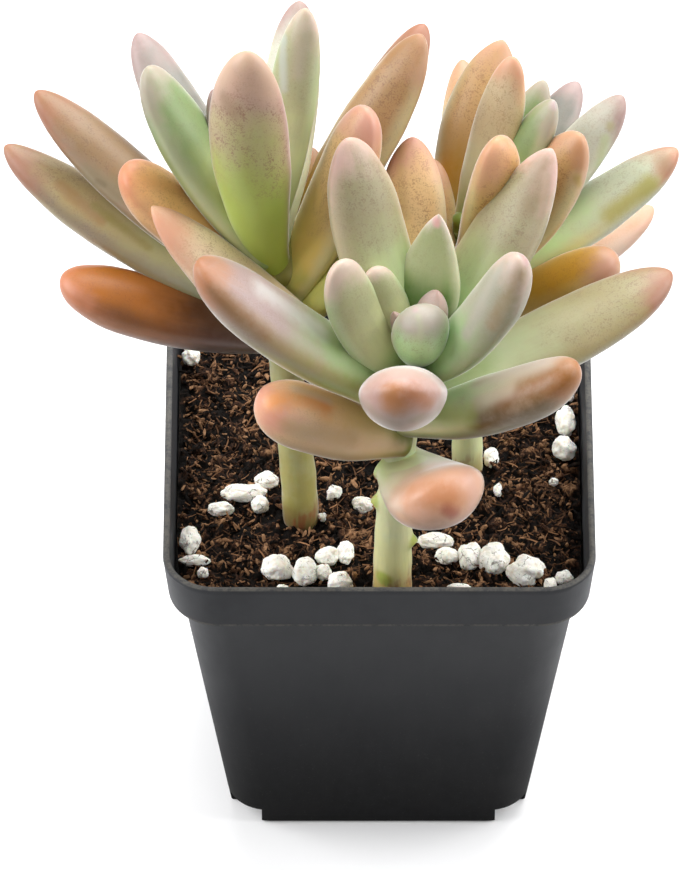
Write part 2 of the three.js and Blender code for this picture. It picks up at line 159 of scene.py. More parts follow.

# Skins of leaves: colours at the root, below and above the middle and at the tip, then along the
# margins and underneath, where the colour is the underside's own and also painted shade, and how
# strong the bloom and the brown flecks are. Red, green and blue are from 0 to 255. Most of the
# colours were fitted by a separate program, which wrote them here.
SKINS = {
    "burnt": ((96, 68, 22), (72, 36, 2), (180, 106, 22), (200, 128, 92),
              (62, 28, 16), (44, 20, 2), 0.12, 0.4),
    "honey": ((120, 110, 40), (198, 168, 70), (200, 150, 36), (186, 138, 112),
              (234, 210, 150), (120, 80, 20), 0.12, 0.4),
    "amber": ((176, 160, 86), (226, 172, 98), (246, 192, 124), (214, 136, 96),
              (222, 174, 132), (134, 88, 34), 0.2, 0.6),
    "brown": ((168, 164, 70), (172, 126, 10), (188, 148, 92), (198, 150, 116),
              (232, 226, 174), (194, 166, 98), 0.2, 1),
    "cork": ((142, 138, 56), (150, 108, 10), (160, 122, 74), (176, 132, 98),
             (200, 194, 150), (166, 140, 82), 0.2, 1),
    "toast": ((180, 176, 78), (190, 140, 20), (208, 164, 102), (216, 160, 124),
              (240, 234, 184), (208, 178, 106), 0.2, 1),
    "tawny": ((168, 182, 100), (234, 202, 104), (214, 178, 122), (208, 152, 130),
              (234, 234, 204), (144, 118, 66), 0.2, 1),
    "tan": ((140, 142, 92), (160, 136, 96), (146, 116, 80), (164, 108, 78),
            (170, 146, 124), (112, 102, 68), 0.25, 0.7),
    "banded": ((142, 154, 96), (172, 172, 118), (178, 158, 110), (164, 112, 86),
               (106, 96, 98), (122, 116, 80), 0.3, 0.8),
    "olive": ((134, 138, 56), (226, 228, 128), (190, 188, 90), (190, 160, 110),
              (210, 214, 138), (114, 112, 44), 0.1, 0.2),
    "russet": ((154, 176, 110), (202, 234, 176), (192, 180, 152), (174, 116, 68),
               (204, 166, 128), (96, 72, 10), 0.4, 0.5),
    "flushed": ((118, 112, 62), (190, 160, 104), (238, 214, 178), (228, 166, 132),
                (222, 186, 156), (104, 88, 58), 0.3, 0.8),
    "rosy": ((132, 140, 66), (228, 200, 136), (248, 204, 150), (224, 156, 128),
             (230, 200, 176), (176, 136, 76), 0.5, 0.4),
    "mauve": ((92, 112, 44), (158, 190, 122), (166, 142, 138), (174, 114, 72),
              (160, 138, 36), (174, 170, 56), 0.5, 0.4),
    "dusky": ((136, 164, 86), (194, 218, 152), (156, 148, 110), (218, 182, 168),
              (210, 194, 164), (132, 132, 80), 0.4, 0.9),
    "willow": ((152, 176, 104), (200, 212, 168), (170, 160, 116), (162, 108, 78),
               (182, 162, 108), (120, 120, 64), 0.4, 0.9),
    "reed": ((176, 200, 130), (226, 230, 190), (206, 188, 150), (208, 152, 114),
             (216, 196, 142), (146, 146, 84), 0.4, 0.9),
    "blush": ((158, 176, 84), (120, 136, 46), (186, 140, 140), (206, 172, 146),
              (214, 194, 182), (188, 210, 100), 0.35, 1),
    "sage": ((162, 198, 114), (226, 234, 174), (162, 166, 118), (208, 184, 168),
             (192, 216, 164), (130, 150, 80), 0.5, 0.5),
    "mint": ((128, 158, 74), (162, 186, 122), (164, 184, 142), (168, 160, 146),
             (212, 206, 188), (190, 234, 164), 0.5, 0.5),
    "green": ((154, 180, 114), (192, 204, 130), (128, 154, 96), (176, 166, 146),
              (216, 216, 180), (132, 142, 78), 0.25, 0.3),
    "fern": ((96, 140, 54), (66, 116, 6), (164, 172, 120), (234, 218, 210),
             (220, 216, 190), (96, 130, 62), 0.25, 0.3),
    "lime": ((150, 184, 92), (198, 234, 164), (200, 206, 178), (190, 130, 98),
             (222, 220, 162), (140, 144, 40), 0.3, 0.6),
    "silver": ((150, 186, 94), (154, 198, 126), (154, 154, 132), (196, 172, 156),
               (158, 158, 112), (118, 138, 80), 0.6, 0.5),
    "frost": ((168, 190, 132), (222, 230, 196), (196, 196, 180), (164, 134, 126),
              (216, 220, 188), (126, 138, 92), 0.6, 0.5),
    "pale": ((150, 160, 98), (182, 176, 146), (132, 132, 124), (166, 140, 136),
             (206, 194, 186), (146, 148, 104), 0.5, 0.2),
    "peach": ((202, 222, 146), (214, 210, 168), (218, 172, 138), (228, 174, 144),
              (222, 204, 188), (188, 106, 52), 0.5, 0.2),
    "lilac": ((140, 154, 96), (190, 172, 158), (180, 150, 136), (176, 138, 126),
              (216, 204, 206), (168, 146, 120), 0.6, 0.1),
    "bud": ((122, 140, 80), (176, 150, 130), (198, 172, 170), (186, 158, 148),
            (210, 190, 184), (150, 130, 110), 0.4, 0.3),
}

# How strong the pale down of the darkest skins is, where all the others have 1.
DOWN = {"burnt": 0.15, "brown": 0.8}

# Marks on single leaves: where each begins and ends, its half width, colour and strength, and,
# where it has a clearer edge than the others, how soft that is. The first mark on leaf_front_08 is
# a painted highlight. Most of the places and colours were worked out by a separate program, which
# wrote them here.
MARKS = {
    "leaf_front_01": [
        ((5.5, -46.8, 103.2), (11.7, -49.0, 103.9), 3.2, (212, 142, 94), 0.9),
        ((11.4, -49.9, 101.6), (12.6, -49.8, 100.4), 1.4, (170, 80, 52), 0.75),
        ((4.0, -47.9, 97.0), (10.2, -47.0, 93.9), 1.6, (230, 180, 140), 0.7),
        ((15.3, -45.2, 104.5), (15.9, -47.1, 99.9), 1.6, (224, 176, 156), 0.6),
        ((2.9, -31.9, 95.9), (5.4, -33.2, 97.0), 3.0, (224, 236, 176), 0.9, 0.3),
    ],
    "leaf_front_02": [
        ((-18.2, -34.9, 113.2), (-9.4, -33.4, 110.3), 2.0, (238, 158, 88), 0.95),
        ((-15.6, -38.1, 109.8), (-5.3, -36.2, 105.1), 2.0, (188, 158, 104), 0.5),
        ((-14.6, -31.9, 113.1), (-8.9, -31.8, 110.2), 1.2, (228, 202, 190), 0.6),
    ],
    "leaf_front_04": [
        ((21.5, -38.6, 115.4), (31.7, -38.5, 122.7), 3.0, (140, 86, 22), 1.0),
        ((16.9, -38.3, 111.0), (28.1, -41.3, 117.4), 2.4, (104, 76, 8), 0.95),
        ((17.5, -31.0, 114.0), (28.8, -34.5, 122.2), 2.6, (196, 178, 166), 0.75),
        ((17.0, -35.8, 113.5), (22.5, -37.0, 117.0), 1.8, (206, 190, 168), 0.75),
        ((10.8, -33.9, 109.3), (14.8, -36.7, 111.3), 2.4, (206, 224, 130), 0.6),
    ],
    "leaf_front_07": [
        ((1.8, -54.3, 133.9), (2.6, -55.2, 132.0), 2.5, (170, 110, 58), 0.9),
        ((5.4, -54.1, 133.2), (8.6, -53.4, 129.8), 2.0, (160, 100, 58), 0.85),
        ((-1.7, -52.7, 128.1), (2.3, -54.3, 126.1), 1.6, (162, 134, 108), 0.6),
        ((6.4, -54.1, 127.3), (10.1, -46.2, 121.2), 1.6, (128, 110, 64), 0.6),
    ],
    "leaf_front_08": [
        # Painted highlight: a pale sheen along the middle of the leaf's top.
        ((-20.2, -28.5, 133.3), (-10.4, -28.4, 124.1), 2.4, (214, 216, 214), 0.6),
        ((-28.3, -33.6, 137.4), (-20.2, -35.3, 129.9), 2.0, (146, 106, 70), 0.8),
    ],
    "leaf_front_09": [((3.6, 6.8, 133.8), (4.1, -4.1, 128.3), 1.2, (176, 144, 88), 0.5)],
    "leaf_front_10": [
        ((27.2, -8.1, 143.9), (25.6, -13.8, 138.6), 2.4, (138, 112, 78), 0.6),
        ((28.7, -10.1, 142.9), (27.7, -14.5, 137.9), 0.8, (186, 160, 136), 0.7),
    ],
    "leaf_front_12": [
        ((20.3, -31.4, 140.9), (14.7, -32.8, 126.8), 1.3, (166, 164, 150), 0.8),
        ((24.3, -31.1, 143.5), (24.8, -32.0, 142.9), 1.0, (186, 148, 144), 0.8),
        ((23.8, -33.9, 141.9), (19.3, -35.1, 131.1), 1.5, (160, 140, 102), 0.7),
    ],
    "leaf_front_13": [
        ((6.0, -28.8, 129.4), (6.0, -29.7, 129.5), 0.7, (180, 152, 150), 0.8),
        ((6.5, -31.0, 129.4), (7.0, -33.8, 127.1), 0.7, (172, 174, 144), 0.7),
    ],
    "leaf_front_15": [((9.6, -16.7, 138.5), (9.6, -17.0, 138.1), 0.7, (228, 170, 166), 0.8)],
    "leaf_left_03": [
        ((-56.0, 8.7, 123.6), (-48.6, 3.0, 120.3), 1.1, (168, 134, 86), 0.8),
        ((-49.7, 5.4, 121.6), (-40.3, -0.8, 117.4), 0.9, (150, 138, 70), 0.7),
    ],
    "leaf_left_05": [
        ((-49.1, 5.4, 127.3), (-48.0, 4.8, 127.1), 0.6, (124, 92, 64), 1.0),
        ((-50.7, 6.5, 127.7), (-45.4, 3.4, 126.3), 2.2, (144, 136, 106), 0.6),
    ],
    "leaf_left_07": [((-39.9, -5.5, 137.4), (-33.8, -3.9, 133.0), 1.6, (236, 170, 104), 0.7)],
    "leaf_left_08": [((2.0, 17.1, 146.3), (4.1, 18.3, 148.0), 2.2, (150, 108, 58), 0.7)],
    "leaf_left_13": [((-26.8, -11.9, 162.6), (-25.2, -13.4, 160.5), 1.8, (158, 128, 98), 0.6)],
    "leaf_left_14": [
        ((-16.6, 7.1, 158.7), (-16.6, 2.4, 151.8), 1.0, (178, 186, 174), 0.8),
        ((-13.5, 6.6, 161.9), (-14.0, 3.0, 154.7), 1.7, (180, 170, 148), 0.6),
    ],
    "leaf_right_03": [
        ((40.4, 8.9, 116.2), (47.2, 12.9, 119.7), 1.8, (180, 172, 82), 0.8),
        ((49.4, 17.1, 122.2), (50.4, 15.7, 121.4), 1.6, (168, 136, 102), 0.7),
    ],
    "leaf_right_06": [
        ((34.2, 2.8, 137.4), (34.7, 1.3, 135.3), 1.6, (182, 128, 86), 0.7),
        ((34.2, 0.2, 132.8), (34.8, 0.4, 131.2), 0.9, (184, 154, 82), 0.9),
    ],
    "leaf_right_07": [
        ((40.3, 17.8, 129.4), (40.3, 17.4, 129.1), 0.8, (174, 166, 124), 0.8),
        ((39.3, 16.0, 127.6), (38.3, 13.8, 123.8), 0.9, (190, 198, 152), 0.7),
    ],
    "leaf_right_12": [((30.1, 10.2, 141.3), (30.1, 9.7, 141.0), 0.8, (192, 172, 172), 0.8)],
}

# Grains of perlite: place on the peat, width and depth, mostly worked out by a separate program.
GRAINS = [
    (-33.6, 27, 3.2, 3.6), (-21, 15, 2, 3.6), (-28, -12, 4.5, 2.6), (-24, -8, 7.6, 3.4),
    (-20, -5, 4, 3.4), (-21, -11, 3.1, 3.2), (-8, -8, 2.7, 3), (-10, -14, 1.6, 1.6),
    (-3, -11, 3.4, 3.2), (-33.4, -20, 3.4, 6), (-32.4, -25, 5, 2), (-31, -28, 2, 2),
    (-18, -27, 5.2, 4.8), (-13, -28, 4.7, 5), (-10, -28, 2.9, 3), (-9, -24, 4, 3.6),
    (-6, -23, 3.1, 5), (-17, -32, 2.2, 1.8), (-7, -31, 4.5, 4.2), (34.4, 17, 1.2, 2.2),
    (33.4, 10, 3.4, 6.6), (33, 3, 4, 4.8), (31, -5, 1.6, 1.4), (20, 1, 2.5, 4.4),
    (21, -7, 1.8, 3), (10, -20, 6.3, 2.8), (12, -24, 4.1, 3.4), (16, -24, 4.1, 5.6),
    (20, -25, 5.2, 6.2), (26, -28, 6.5, 5.6), (30, -31, 2.2, 3.2), (32.4, -29.4, 3.2, 2.8),
    (14, -32, 4.7, 2),
]

# Raised scars of fallen leaves: height above the peat, compass direction, width, how far out.
SCARS = {
    "left": [],
    "front": [(4, 240, 4, 0.3), (11, 350, 3.4, 1.2), (20, 185, 3.4, 1.2)],
    "right": [(20, 330, 3.4, 0.7)],
}

# Colours of the stems, below and above the middle, and at the foot.
STEM_SKINS = {
    "left": ((182, 172, 98), (196, 190, 122), (112, 88, 40)),
    "front": ((220, 216, 150), (222, 228, 184), (186, 156, 84)),
    "right": ((230, 236, 176), (232, 240, 200), (176, 156, 92)),
}


# ---- shader helpers ----------------------------------------------------------


class Wire:
    """A socket whose sums become Math nodes."""

    def __init__(self, paint, socket):
        self.paint = paint
        self.socket = socket

    def _math(self, operation, *values):
        return self.paint.node("ShaderNodeMath", {"operation": operation}, dict(enumerate(values)))

    def __add__(self, other):
        return self._math("ADD", self, other)

    def __sub__(self, other):
        return self._math("SUBTRACT", self, other)

    def __rsub__(self, other):
        return self._math("SUBTRACT", other, self)

    def __mul__(self, other):
        return self._math("MULTIPLY", self, other)

    def __truediv__(self, other):
        return self._math("DIVIDE", self, other)

    __radd__ = __add__
    __rmul__ = __mul__


class Paint:
    """A material under construction, around one Principled shader."""

    def __init__(self, name, roughness=0.5, **constants):
        self.material = bpy.data.materials.new(name)
        self.material.use_nodes = True
        self.tree = self.material.node_tree
        self.shader = self.tree.nodes["Principled BSDF"]
        self.shader.inputs["Roughness"].default_value = roughness
        for socket, value in constants.items():
            name = socket.replace("_", " ").title().replace("Ior", "IOR")
            self.shader.inputs[name].default_value = value

    def join(self, value, socket):
        if isinstance(value, Wire):
            self.tree.links.new(value.socket, socket)
        else:
            socket.default_value = value

    def node(self, kind, settings=None, inputs=None, output=0):
        made = self.tree.nodes.new(kind)
        for key, value in (settings or {}).items():
            setattr(made, key, value)
        for key, value in (inputs or {}).items():
            self.join(value, made.inputs[key])
        return Wire(self, made.outputs[output])

    def number(self, attribute):
        """An attribute of the mesh, as a number."""
        return self.node("ShaderNodeAttribute", {"attribute_name": attribute}, output=2)

    def spot(self, scale=(1, 1, 1)):
        """Object coordinates in millimetres, stretched by scale."""
        where = self.node("ShaderNodeTexCoord", output=3)
        factor = tuple(s / MM for s in scale)
        return self.node("ShaderNodeVectorMath", {"operation": "MULTIPLY"}, {0: where, 1: factor})

    def noise(self, where, size, detail=4, roughness=0.55, distortion=0):
        """Fractal noise, around 0.5, with features of a given size in the units of where."""
        inputs = {"Vector": where, "Scale": 1 / size, "Detail": detail}
        inputs |= {"Roughness": roughness, "Distortion": distortion}
        return self.node("ShaderNodeTexNoise", inputs=inputs)

    def cells(self, where, size, feature="F1"):
        """Voronoi cells of a given size: the distance to their points, or to their edges."""
        inputs = {"Vector": where, "Scale": 1 / size}
        return self.node("ShaderNodeTexVoronoi", {"feature": feature}, inputs)

    def step(self, value, low, high):
        """A smooth rise from 0 to 1, while value goes from low to high."""
        settings = {"interpolation_type": "SMOOTHSTEP"}
        return self.node("ShaderNodeMapRange", settings, {0: value, 1: low, 2: high})

    def mix(self, share, first, second):
        """The first colour, with a share of the second over it."""
        inputs = {0: share, 6: first, 7: second}
        return self.node("ShaderNodeMix", {"data_type": "RGBA"}, inputs, output=2)

    def vector(self, operation, first, second, output=0):
        return self.node("ShaderNodeVectorMath", {"operation": operation}, {0: first, 1: second}, output)

    def away(self, where, begin, end):
        """The distance of a point from the line between two others."""
        line = end - begin
        from_begin = self.vector("SUBTRACT", where, tuple(begin))
        per_length = tuple(line / max(line.length_squared, 0.001))
        share = self.vector("DOT_PRODUCT", from_begin, per_length, 1)
        share = self.node("ShaderNodeMapRange", inputs={0: share})
        inputs = {0: share, 4: (0, 0, 0), 5: tuple(line)}
        nearest = self.node("ShaderNodeMix", {"data_type": "VECTOR"}, inputs, output=1)
        return self.vector("DISTANCE", from_begin, nearest, 1)

    def colour(self, value):
        self.join(value, self.shader.inputs["Base Color"])

    def roughness(self, value):
        self.join(value, self.shader.inputs["Roughness"])

    def bump(self, height, strength, distance):
        """A relief of the given depth in mm."""
        inputs = {"Height": height, "Strength": strength, "Distance": distance * MM}
        normal = self.node("ShaderNodeBump", inputs=inputs)
        self.join(normal, self.shader.inputs["Normal"])


def tone(red, green, blue):
    """A colour from 0 to 255 as Blender's linear one."""

    def linear(value):
        share = value / 255
        return share / 12.92 if value < 11 else ((share + 0.055) / 1.055) ** 2.4

    return (linear(red), linear(green), linear(blue), 1)


# ---- mesh helpers ------------------------------------------------------------


def points_of(mesh):
    co = np.empty(len(mesh.vertices) * 3)
    mesh.vertices.foreach_get("co", co)
    return co.reshape(-1, 3)


def set_points(mesh, co):
    mesh.vertices.foreach_set("co", np.asarray(co, float).ravel())
    mesh.update()


def add_number(mesh, name, values):
    mesh.attributes.new(name, "FLOAT", "POINT").data.foreach_set("value", np.asarray(values, np.float32))


def new_sphere(name, segments, rings):
    bpy.ops.object.select_all(action="DESELECT")
    bpy.ops.mesh.primitive_uv_sphere_add(segments=segments, ring_count=rings, radius=1)
    piece = bpy.context.object
    piece.name = name
    piece.data.name = name
    piece.data.uv_layers[0].name = "OFBake"
    return piece


def finish_piece(piece, material, slot, *nodes):
    """Gives a finished piece its material, and says which nodes it replaces; the slot is not used."""
    piece.data.materials.clear()
    piece.data.materials.append(material)
    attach(piece, "root")
    if nodes:
        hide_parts(*nodes)


def select_only(piece):
    bpy.ops.object.select_all(action="DESELECT")
    piece.select_set(True)
    bpy.context.view_layer.objects.active = piece


def apply_all(piece):
    select_only(piece)
    for modifier in list(piece.modifiers):
        bpy.ops.object.modifier_apply(modifier=modifier.name)


def smooth(piece, angle=180):
    """Shades a piece smooth, except at edges that are sharper than angle."""
    select_only(piece)
    if angle >= 180:
        bpy.ops.object.shade_smooth()
    else:
        bpy.ops.object.shade_smooth_by_angle(angle=math.radians(angle))


# ---- stems -------------------------------------------------------------------


def axis_point(shoot, height):
    """The axis of a shoot at a height above the peat, in mm."""
    foot, tip, lean = (SHOOTS[shoot][key] for key in ("foot", "tip", "lean"))
    along = max(height / (tip[2] - PEAT_TOP), 0) ** lean
    inward = 1 + STEM_INWARD * min(height, 0)
    x = foot[0] * inward + (tip[0] - foot[0]) * along
    y = foot[1] * inward + (tip[1] - foot[1]) * along
    return Vector((x, y, PEAT_TOP + height))


def stem_skin(shoot):
    paint = Paint(
        f"stem skin {shoot}", 0.5, subsurface_weight=0.25, subsurface_scale=2 * MM,
        sheen_weight=0.7, sheen_roughness=0.3,
    )
    height = paint.number("height")
    scar = paint.number("scar")
    where = paint.spot()
    clouds = paint.noise(where, 5)
    streaks = paint.noise(paint.spot((1, 1, 0.12)), 0.8)
    low, high, foot_colour = STEM_SKINS[shoot]
    skin = paint.mix(paint.step(height, 2, 30), tone(*low), tone(*high))
    skin = paint.mix(paint.step(clouds, 0.4, 0.7) * 0.35, skin, tone(206, 208, 172))
    skin = paint.mix(paint.step(streaks, 0.45, 0.75) * 0.14, skin, tone(138, 144, 88))
    foot = paint.step(height + (clouds - 0.5) * 4, 7, 0)
    skin = paint.mix(foot * 0.85, skin, tone(*foot_colour))
    skin = paint.mix(paint.step(height, 40, 54), skin, tone(126, 146, 54))
    skin = paint.mix(paint.step(scar, 0.2, 0.7) * 0.8, skin, tone(168, 180, 70))
    dry = paint.step(clouds + (streaks - 0.5) * 0.5, 0.5, 0.68) * paint.step(height, 7, 2)
    skin = paint.mix(dry * 0.7, skin, tone(150, 84, 44))
    paint.colour(skin)
    paint.bump(streaks * 0.6 + clouds * 0.4, 0.4, 0.3)
    return paint.material


def make_stem(shoot):
    piece = new_sphere(f"stem_{shoot}_skin", 32, 90)
    mesh = piece.data
    top = SHOOTS[shoot]["tip"][2] - PEAT_TOP
    heights, scars, placed = [], [], []
    for x, y, z in points_of(mesh):
        share = math.acos(max(-1, min(1, -z))) / math.pi
        height = -STEM_DEPTH + (top + STEM_DEPTH) * share
        up = max(0, min(1, height / top))
        radius = SHOOTS[shoot]["radius"] * (1 + (STEM_TIP_SHARE - 1) * up ** 1.5)
        radius += STEM_WAVER * math.sin(height * 0.9 + SHOOTS[shoot]["foot"][0])
        angle = math.atan2(y, x)
        centre = axis_point(shoot, height)
        mark = 0
        for at, turn, width, out in SCARS[shoot]:
            around = math.remainder(angle - math.radians(turn), 2 * math.pi) * radius
            level = height - at
            bulge = math.exp(-((around / (0.36 * width)) ** 2) - (level / 0.9) ** 2)
            radius += out * bulge
            mark = max(mark, math.exp(-((around / (0.5 * width)) ** 2) - (level / 1.8) ** 2))
        radius += 0.06 * noise.noise(Vector((centre.x + x * 3, centre.y + y * 3, height * 0.5)) * 0.5)
        ends = 1 if 0.004 < share < 0.996 else 0
        placed.append(place(centre.x + radius * math.cos(angle) * ends,
                            centre.y + radius * math.sin(angle) * ends, centre.z))
        heights.append(height)
        scars.append(mark)
    set_points(mesh, placed)
    add_number(mesh, "height", heights)
    add_number(mesh, "scar", scars)
    smooth(piece)
    finish_piece(piece, stem_skin(shoot), "stem_skin", f"stem_{shoot}")


# ---- leaves ------------------------------------------------------------------


def breadth(t, root, widest, tip):
    """Breadth of a leaf along its length, where t goes from 0 at the root to 1 at the tip."""
    t = max(t, 0)
    if t < widest:
        return root + (1 - root) * math.sin(math.pi / 2 * t / widest)
    u = (t - widest) / (1 - widest)
    return max(1 - u ** tip[0], 0) ** tip[1]


def leaf_line(shoot, at, turn, rise, length, curl, bow, steps=48):
    """The line along the middle of a leaf: points in mm and directions from root to tip."""

    def heading(t):
        up = math.radians(rise + curl * (t - 0.5))
        round_ = math.radians(turn + bow * (t - 0.5))
        flat = math.cos(up)
        return Vector((flat * math.cos(round_), flat * math.sin(round_), math.sin(up)))

    path = [Vector((0, 0, 0))]
    for i in range(steps):
        path.append(path[i] + heading((i + 0.5) / steps))
    scale = length / path[-1].length
    fit = path[-1].rotation_difference(heading(0.5))
    root = axis_point(shoot, at)
    return [(fit @ p * scale + root, fit @ heading(i / steps)) for i, p in enumerate(path)]


def leaf_frame(line, t, length, level, roll):
    """The middle of a leaf's section at t, and the section's directions sideways and up."""
    step = min(max(t, 0) * (len(line) - 1), len(line) - 1.001)
    i = int(step)
    along = line[i][1].lerp(line[i + 1][1], step - i).normalized()
    centre = line[i][0].lerp(line[i + 1][0], step - i) + along * length * min(t, 0)
    up = along.cross(level).normalized()
    side = up.cross(along).normalized()
    turned = Quaternion(along, math.radians(roll))
    up.rotate(turned)
    side.rotate(turned)
    return centre, side, up


def make_leaf(name, shoot, seed, at, turn, rise, length, width, thick, curl, tip, skin, shape=None):
    shape = shape or {}
    piece = new_sphere(name + "_skin", 28, 30)
    mesh = piece.data
    line = leaf_line(shoot, at, turn, rise, length, curl, shape.get("bow", 0))
    widest, base = shape.get("widest", LEAF_WIDEST), shape.get("base", LEAF_BASE)
    first = shape.get("clasp", LEAF_CLASP) / length
    level = Vector((-math.sin(math.radians(turn)), math.cos(math.radians(turn)), 0))
    along_all, side_all, face_all, placed = [], [], [], []
    for x, y, z in points_of(mesh):
        station = (1 + z) / 2
        t = first + (1 - first) * station
        centre, side, up = leaf_frame(line, t, length, level, shape.get("roll", 0))
        ring = math.hypot(x, y)
        c, s = (x / ring, y / ring) if ring > 1e-6 else (0, 0)
        closed = min(1, ring / LEAF_CLOSING) if z < 0 else 1
        half = width / 2 * breadth(t, base, widest, tip) * closed
        deep = thick * breadth(t, base + 0.05, widest, tip) * closed
        share = LEAF_ABOVE if s > 0 else LEAF_BELOW
        high = math.copysign(abs(s) ** LEAF_SECTION, s) * deep * share
        spot = centre + side * half * c + up * high
        sway = noise.noise(spot * 0.13 + Vector((seed * 7.3, 0, 0)))
        ripple = noise.noise(spot * 0.4 + Vector((0, seed * 3.1, 0)))
        outward = (side * c * half + up * high).normalized()
        spot += outward * (0.28 * sway + 0.08 * ripple) * min(1, ring * 2)
        placed.append(place(*spot))
        along_all.append(station)
        side_all.append(c * min(1, ring * 2))
        face_all.append(s * min(1, ring * 2))
    set_points(mesh, placed)
    add_number(mesh, "along", along_all)
    add_number(mesh, "side", side_all)
    add_number(mesh, "face", face_all)
    more = piece.modifiers.new("more", "SUBSURF")
    more.levels = more.render_levels = 1
    apply_all(piece)
    smooth(piece)
    finish_piece(piece, leaf_skin(name, skin, seed, length, width), "leaf_skin", name)


def add_marks(paint, colour, marks, spot, clouds, mottle):
    """The colour with soft marks over it, whose edges the two noises make ragged."""
    for begin, end, size, shade, strength, *soft in marks:
        soft = soft[0] if soft else 1
        gap = paint.away(spot, place(*begin) / MM, place(*end) / MM)
        ragged = (clouds - 0.5) * 1.2 * soft + (mottle - 0.5) * 0.6 * soft
        blot = paint.step(gap / size + ragged, 1 + soft / 2, 1 - soft * 0.9)
        colour = paint.mix(blot * strength, colour, tone(*shade))
    return colour


def leaf_skin(name, skin, seed, length, width):
    """Fleshy skin that runs from green at the root to pink or orange at the tip, under a bloom."""
    root, lower, upper, tip, margin, under, bloom, flecks = SKINS[skin]
    rng = random.Random(seed)
    paint = Paint(
        f"{name} {skin}", 0.42, subsurface_weight=0.12, subsurface_scale=2 * MM,
        sheen_weight=DOWN.get(skin, 1.0), sheen_roughness=0.25, coat_weight=0.1, coat_roughness=0.3,
    )
    along = paint.number("along")
    side = paint.number("side")
    face = paint.number("face")
    drift = (rng.uniform(0, 90), rng.uniform(0, 90), rng.uniform(0, 90))
    spot = paint.spot()
    where = paint.node("ShaderNodeVectorMath", {"operation": "ADD"}, {0: spot, 1: drift})
    clouds = paint.noise(where, 8, 3)
    mottle = paint.noise(where, 1.3, 5, 0.65)
    grain = paint.noise(where, 0.28, 3)
    ribbon = {0: along * (length / 12) + drift[0], 1: side * width / 2, 2: face * 3}
    streaks = paint.noise(paint.node("ShaderNodeCombineXYZ", inputs=ribbon), 0.8, 5, 0.65)
    edge = side * side
    reach = along + (clouds - 0.5) * 0.3 + (streaks - 0.5) * 0.07 + edge * 0.08
    colour = paint.mix(paint.step(reach, 0.06, 0.42), tone(*root), tone(*lower))
    colour = paint.mix(paint.step(reach, 0.32, 0.72), colour, tone(*upper))
    # Painted shade: the underside turns to the underneath colour, its own colour darkened as shade.
    belly = paint.step(face, 0.15, -0.6) * paint.step(reach, 1.1, 0.35)
    colour = paint.mix(belly * 0.9, colour, tone(*under))
    brown = [0.74 * upper[0], 0.63 * upper[1], 0.5 * upper[2]]
    fleck = paint.step(streaks * 0.1 + mottle * 0.4 + grain * 0.5, 0.49, 0.6)
    fleck = fleck * paint.step(reach + (clouds - 0.5) * 0.7, 0.4, 0.85)
    colour = paint.mix(fleck * flecks * 0.7, colour, tone(*brown))
    border = paint.step(edge + (clouds - 0.5) * 0.5, 0.35, 1.0) * paint.step(face, -0.4, 0.15)
    colour = paint.mix(border * 0.55, colour, tone(*margin))
    colour = paint.mix(paint.step(reach, 0.82, 1.02), colour, tone(*tip))
    colour = add_marks(paint, colour, MARKS.get(name, []), spot, clouds, mottle)
    dust = paint.step(mottle * 0.4 + clouds * 0.6 + face * 0.15, 0.42, 0.72)
    colour = paint.mix(dust * bloom * 0.25, colour, tone(224, 214, 206))
    paint.colour(colour)
    paint.roughness(0.36 + mottle * 0.22)
    paint.bump(grain * 0.4 + mottle * 0.6, 0.25, 0.12)
    return paint.material


# ---- pot ---------------------------------------------------------------------


def pot_rings():
    """Half width, corner radius and height of the pot's skin, from the recess under its floor,
    out over the feet, up the outside, over the rim and down the inside to the floor."""
    rim, r, foot = POT_HALF, RIM_CORNER, POT_HEIGHT - BAND
    inner, floor = BASE_HALF - FOOT_WALL, FOOT_HEIGHT + FLOOR

    def at(z):
        return BASE_HALF + (BODY_HALF - BASE_HALF) / foot * z

    return [
        (inner - 0.3, 5, FOOT_HEIGHT), (inner, 5.2, FOOT_HEIGHT - 0.4),
        (inner, 5.2, 0.3), (inner + 0.2, 5.4, 0), (BASE_HALF - 0.3, r - 2, 0),
        (BASE_HALF, r - 1.8, 0.3), (at(FOOT_HEIGHT), r - 1.7, FOOT_HEIGHT),
        (at(30), r - 1.2, 30), (BODY_HALF, r - 0.6, foot - 0.3),
        (BODY_HALF + 0.15, r - 0.5, foot - 0.02), (BAND_HALF - 0.4, r - 0.1, foot + 0.15),
        (BAND_HALF - 0.08, r, foot + 0.35), (BAND_HALF + 0.02, r, foot + 0.8),
        (rim - 0.1, r, POT_HEIGHT - 1.2), (rim, r, POT_HEIGHT - 0.5),
        (rim - 0.14, r - 0.1, POT_HEIGHT - 0.15), (rim - 0.45, r - 0.4, POT_HEIGHT),
        (rim - 0.85, r - 0.8, POT_HEIGHT), (rim - 1.15, r - 1.1, POT_HEIGHT - 0.15),
        (rim - WALL, r - WALL, POT_HEIGHT - 0.55), (BAND_HALF - WALL, r - WALL, foot + 0.8),
        (BODY_HALF - WALL, r - 1.9, foot - 0.6), (at(30) - WALL, r - 2.4, 30),
        (at(6) - WALL, r - 3, floor + 1), (at(5) - WALL - 1, r - 3.6, floor),
    ]


def set_ring(mesh, now, wanted):
    """Moves the selected points of a rounded square from one half width and radius to another."""
    for v in mesh.verts:
        if v.select:
            x, y = (v.co.x - MIDDLE.x) / MM, (v.co.y - MIDDLE.y) / MM
            reach, wide = now[0] - now[1], wanted[0] - wanted[1]
            across = [wide + wanted[1] * (abs(p) - reach) / now[1] for p in (x, y)]
            v.co = place(math.copysign(across[0], x), math.copysign(across[1], y), wanted[2])


